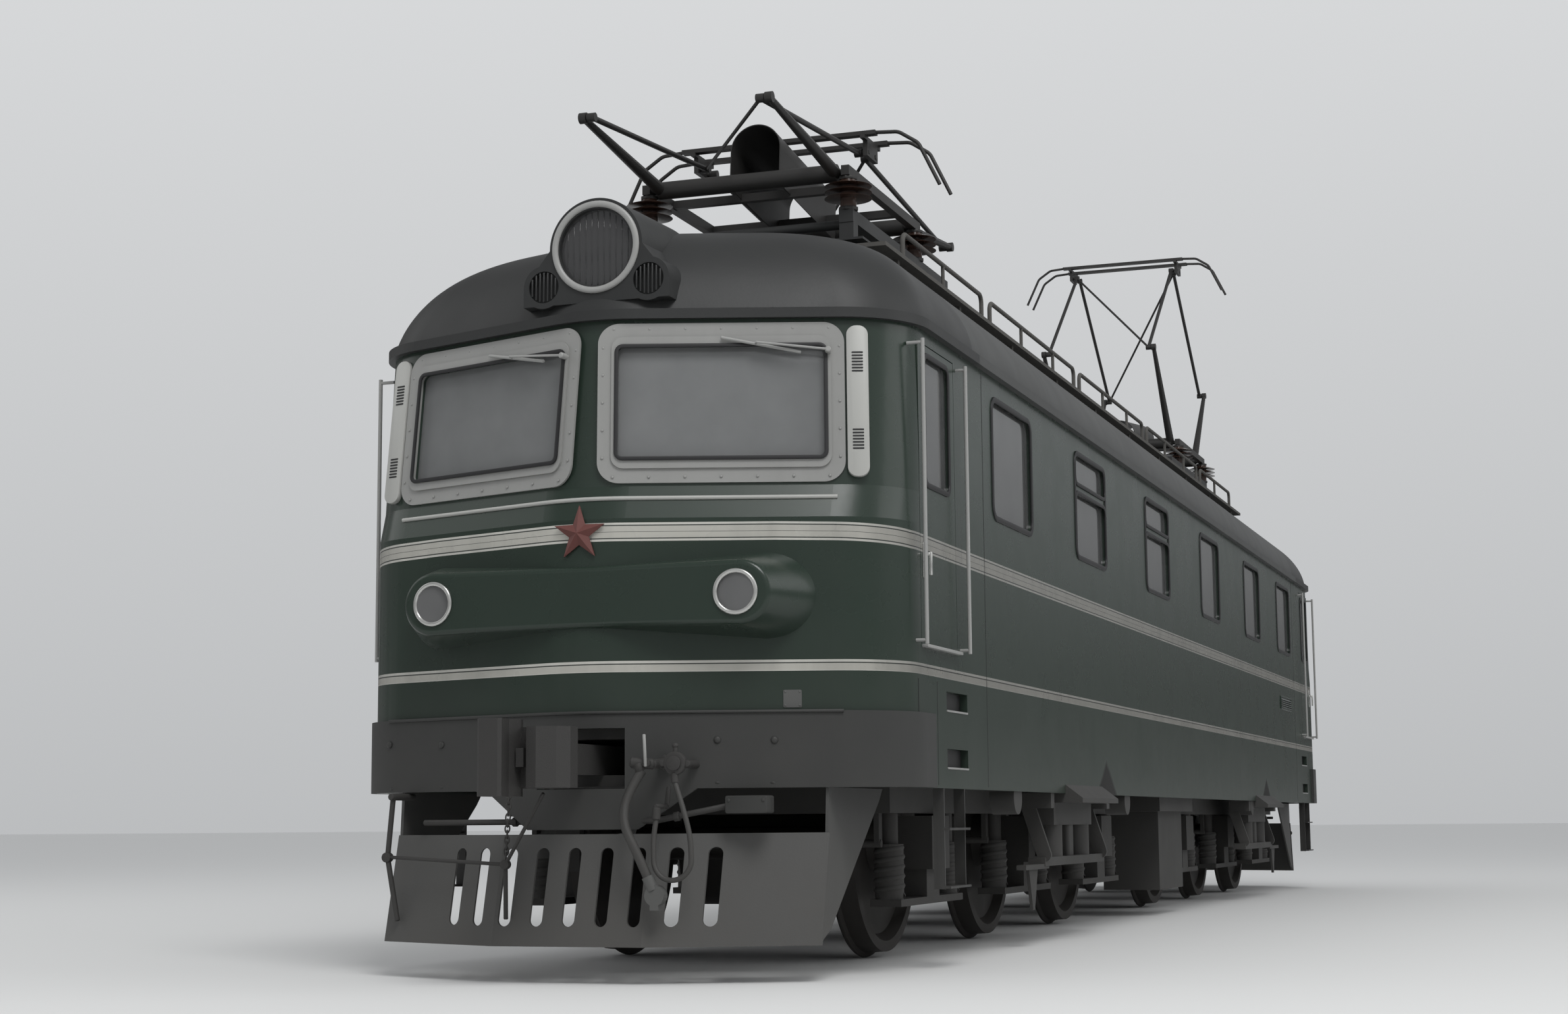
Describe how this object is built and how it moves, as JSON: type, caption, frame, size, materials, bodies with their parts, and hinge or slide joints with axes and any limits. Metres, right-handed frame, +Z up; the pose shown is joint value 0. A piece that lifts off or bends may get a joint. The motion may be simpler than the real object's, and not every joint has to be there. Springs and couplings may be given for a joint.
{
  "type": "electric locomotive",
  "caption": "Main line electric locomotive with swept rounded cabs, two three-axle bogies that pivot, wheels that turn, hinged cab doors and folding roof pantographs.",
  "frame": {"origin": "on the ground plane through the tips of the wheel flanges, midway between the bogies and the sides", "axes": "+X to the right side seen from the front cab looking back, -Y to the front cab, +Z up"},
  "size_m": [3.28, 19.036, 6.7825],
  "materials": {
    "black_paint": "satin",
    "body_paint": "gloss",
    "cast_gear": "matte",
    "ceramic_brown": "gloss",
    "deck_wood": "matte",
    "gear_paint": "matte",
    "glazing": "gloss",
    "interior_paint": "satin",
    "panto_paint": "satin",
    "reflector": "polished",
    "roof_paint": "matte",
    "rubber_hose": "matte",
    "seat_leather": "satin",
    "trim_paint": "satin",
    "wheel_steel": "satin"
  },
  "bodies": {
    "root": {"brake_hose_front": "rubber_hose", "brake_hose_rear": "rubber_hose", "cab_bulkheads": "interior_paint", "cab_furniture": "seat_leather", "cab_shells": "body_paint", "couplers": "cast_gear", "end_beams": "body_paint", "end_fittings": "black_paint", "hose_heads": "cast_gear", "jumper_front": "rubber_hose", "jumper_rear": "rubber_hose", "lamps": "reflector", "machinery": "interior_paint", "pantograph_bases": "panto_paint", "roof_centre": "roof_paint", "roof_domes": "roof_paint", "roof_equipment": "roof_paint", "roof_insulators": "ceramic_brown", "roof_walkways": "deck_wood", "side_brackets": "gear_paint", "side_walls": "body_paint", "snowploughs": "black_paint", "steps_and_handrails": "trim_paint", "underfloor_boxes": "gear_paint", "underframe": "black_paint", "window_glass": "glazing", "windscreen_frames": "trim_paint"},
    "bogie_front": {"axleboxes_front": "cast_gear", "bogie_frame_front": "gear_paint", "brake_gear_front": "cast_gear", "traction_motors_front": "gear_paint"},
    "bogie_rear": {"axleboxes_rear": "cast_gear", "bogie_frame_rear": "gear_paint", "brake_gear_rear": "cast_gear", "traction_motors_rear": "gear_paint"},
    "door_front_left": {"cab_door_front_left": "body_paint", "door_glass_front_left": "glazing"},
    "door_front_right": {"cab_door_front_right": "body_paint", "door_glass_front_right": "glazing"},
    "door_rear_left": {"cab_door_rear_left": "body_paint", "door_glass_rear_left": "glazing"},
    "door_rear_right": {"cab_door_rear_right": "body_paint", "door_glass_rear_right": "glazing"},
    "panto_front_head": {"panto_front_head": "panto_paint"},
    "panto_front_lower_front": {"panto_front_lower_front": "panto_paint"},
    "panto_front_lower_rear": {"panto_front_lower_rear": "panto_paint"},
    "panto_front_upper_front": {"panto_front_upper_front": "panto_paint"},
    "panto_front_upper_rear": {"panto_front_upper_rear": "panto_paint"},
    "panto_rear_head": {"panto_rear_head": "panto_paint"},
    "panto_rear_lower_front": {"panto_rear_lower_front": "panto_paint"},
    "panto_rear_lower_rear": {"panto_rear_lower_rear": "panto_paint"},
    "panto_rear_upper_front": {"panto_rear_upper_front": "panto_paint"},
    "panto_rear_upper_rear": {"panto_rear_upper_rear": "panto_paint"},
    "wheelset_1": {"wheelset_1": "wheel_steel"},
    "wheelset_2": {"wheelset_2": "wheel_steel"},
    "wheelset_3": {"wheelset_3": "wheel_steel"},
    "wheelset_4": {"wheelset_4": "wheel_steel"},
    "wheelset_5": {"wheelset_5": "wheel_steel"},
    "wheelset_6": {"wheelset_6": "wheel_steel"}
  },
  "joints": [
    {"name": "bogie_front_pivot", "type": "hinge", "parent": "root", "child": "bogie_front", "pos_m": [0, -4.1, 1.045], "axis": [0, 0, 1], "range_deg": [-4, 4]},
    {"name": "wheelset_1_spin", "type": "hinge", "parent": "bogie_front", "child": "wheelset_1", "pos_m": [0, -6.4, 0.655], "axis": [1, 0, 0], "continuous": true},
    {"name": "wheelset_2_spin", "type": "hinge", "parent": "bogie_front", "child": "wheelset_2", "pos_m": [0, -4.1, 0.655], "axis": [1, 0, 0], "continuous": true},
    {"name": "wheelset_3_spin", "type": "hinge", "parent": "bogie_front", "child": "wheelset_3", "pos_m": [0, -1.8, 0.655], "axis": [1, 0, 0], "continuous": true},
    {"name": "door_front_left_hinge", "type": "hinge", "parent": "root", "child": "door_front_left", "pos_m": [-1.44, -7.212, 1.673], "axis": [0, 0, 1], "range_deg": [0, 85]},
    {"name": "door_front_right_hinge", "type": "hinge", "parent": "root", "child": "door_front_right", "pos_m": [1.44, -7.212, 1.673], "axis": [0, 0, -1], "range_deg": [0, 85]},
    {"name": "bogie_rear_pivot", "type": "hinge", "parent": "root", "child": "bogie_rear", "pos_m": [0, 4.1, 1.045], "axis": [0, 0, 1], "range_deg": [-4, 4]},
    {"name": "wheelset_4_spin", "type": "hinge", "parent": "bogie_rear", "child": "wheelset_4", "pos_m": [0, 1.8, 0.655], "axis": [1, 0, 0], "continuous": true},
    {"name": "wheelset_5_spin", "type": "hinge", "parent": "bogie_rear", "child": "wheelset_5", "pos_m": [0, 4.1, 0.655], "axis": [1, 0, 0], "continuous": true},
    {"name": "wheelset_6_spin", "type": "hinge", "parent": "bogie_rear", "child": "wheelset_6", "pos_m": [0, 6.4, 0.655], "axis": [1, 0, 0], "continuous": true},
    {"name": "door_rear_left_hinge", "type": "hinge", "parent": "root", "child": "door_rear_left", "pos_m": [-1.44, 7.212, 1.673], "axis": [0, 0, -1], "range_deg": [0, 85]},
    {"name": "door_rear_right_hinge", "type": "hinge", "parent": "root", "child": "door_rear_right", "pos_m": [1.44, 7.212, 1.673], "axis": [0, 0, 1], "range_deg": [0, 85]},
    {"name": "panto_front_lower_front_hinge", "type": "hinge", "parent": "root", "child": "panto_front_lower_front", "pos_m": [0, -6.31, 4.68], "axis": [-1, 0, 0], "range_deg": [0, 53]},
    {"name": "panto_front_upper_front_hinge", "type": "hinge", "parent": "panto_front_lower_front", "child": "panto_front_upper_front", "pos_m": [0, -7.49235, 4.81471], "axis": [1, 0, 0], "range_deg": [0, 95.08]},
    {"name": "panto_front_lower_rear_hinge", "type": "hinge", "parent": "root", "child": "panto_front_lower_rear", "pos_m": [0, -4.89, 4.68], "axis": [1, 0, 0], "range_deg": [0, 53]},
    {"name": "panto_front_upper_rear_hinge", "type": "hinge", "parent": "panto_front_lower_rear", "child": "panto_front_upper_rear", "pos_m": [0, -3.70765, 4.81471], "axis": [-1, 0, 0], "range_deg": [0, 95.08]},
    {"name": "panto_front_head_hinge", "type": "hinge", "parent": "panto_front_upper_front", "child": "panto_front_head", "pos_m": [0, -5.67, 4.98186], "axis": [-1, 0, 0], "range_deg": [0, 42.08]},
    {"name": "panto_rear_lower_front_hinge", "type": "hinge", "parent": "root", "child": "panto_rear_lower_front", "pos_m": [0, 4.89, 4.68], "axis": [-1, 0, 0], "range_deg": [-40.5, 12.5]},
    {"name": "panto_rear_upper_front_hinge", "type": "hinge", "parent": "panto_rear_lower_front", "child": "panto_rear_upper_front", "pos_m": [0, 4.07842, 5.55031], "axis": [1, 0, 0], "range_deg": [-72.17, 22.27]},
    {"name": "panto_rear_lower_rear_hinge", "type": "hinge", "parent": "root", "child": "panto_rear_lower_rear", "pos_m": [0, 6.31, 4.68], "axis": [1, 0, 0], "range_deg": [-40.5, 12.5]},
    {"name": "panto_rear_upper_rear_hinge", "type": "hinge", "parent": "panto_rear_lower_rear", "child": "panto_rear_upper_rear", "pos_m": [0, 7.12158, 5.55031], "axis": [-1, 0, 0], "range_deg": [-72.17, 22.27]},
    {"name": "panto_rear_head_hinge", "type": "hinge", "parent": "panto_rear_upper_front", "child": "panto_rear_head", "pos_m": [0, 5.53, 6.66468], "axis": [-1, 0, 0], "range_deg": [-31.67, 9.78]}
  ],
  "couplings": [
    {"joint": "panto_front_upper_front_hinge", "follows": "panto_front_lower_front_hinge", "ratio": 1.794},
    {"joint": "panto_front_upper_rear_hinge", "follows": "panto_front_lower_front_hinge", "ratio": 1.794},
    {"joint": "panto_front_lower_rear_hinge", "follows": "panto_front_lower_front_hinge", "ratio": 1},
    {"joint": "panto_front_head_hinge", "follows": "panto_front_lower_front_hinge", "ratio": 0.794},
    {"joint": "panto_rear_upper_front_hinge", "follows": "panto_rear_lower_front_hinge", "ratio": 1.782},
    {"joint": "panto_rear_upper_rear_hinge", "follows": "panto_rear_lower_front_hinge", "ratio": 1.782},
    {"joint": "panto_rear_lower_rear_hinge", "follows": "panto_rear_lower_front_hinge", "ratio": 1},
    {"joint": "panto_rear_head_hinge", "follows": "panto_rear_lower_front_hinge", "ratio": 0.782}
  ]
}
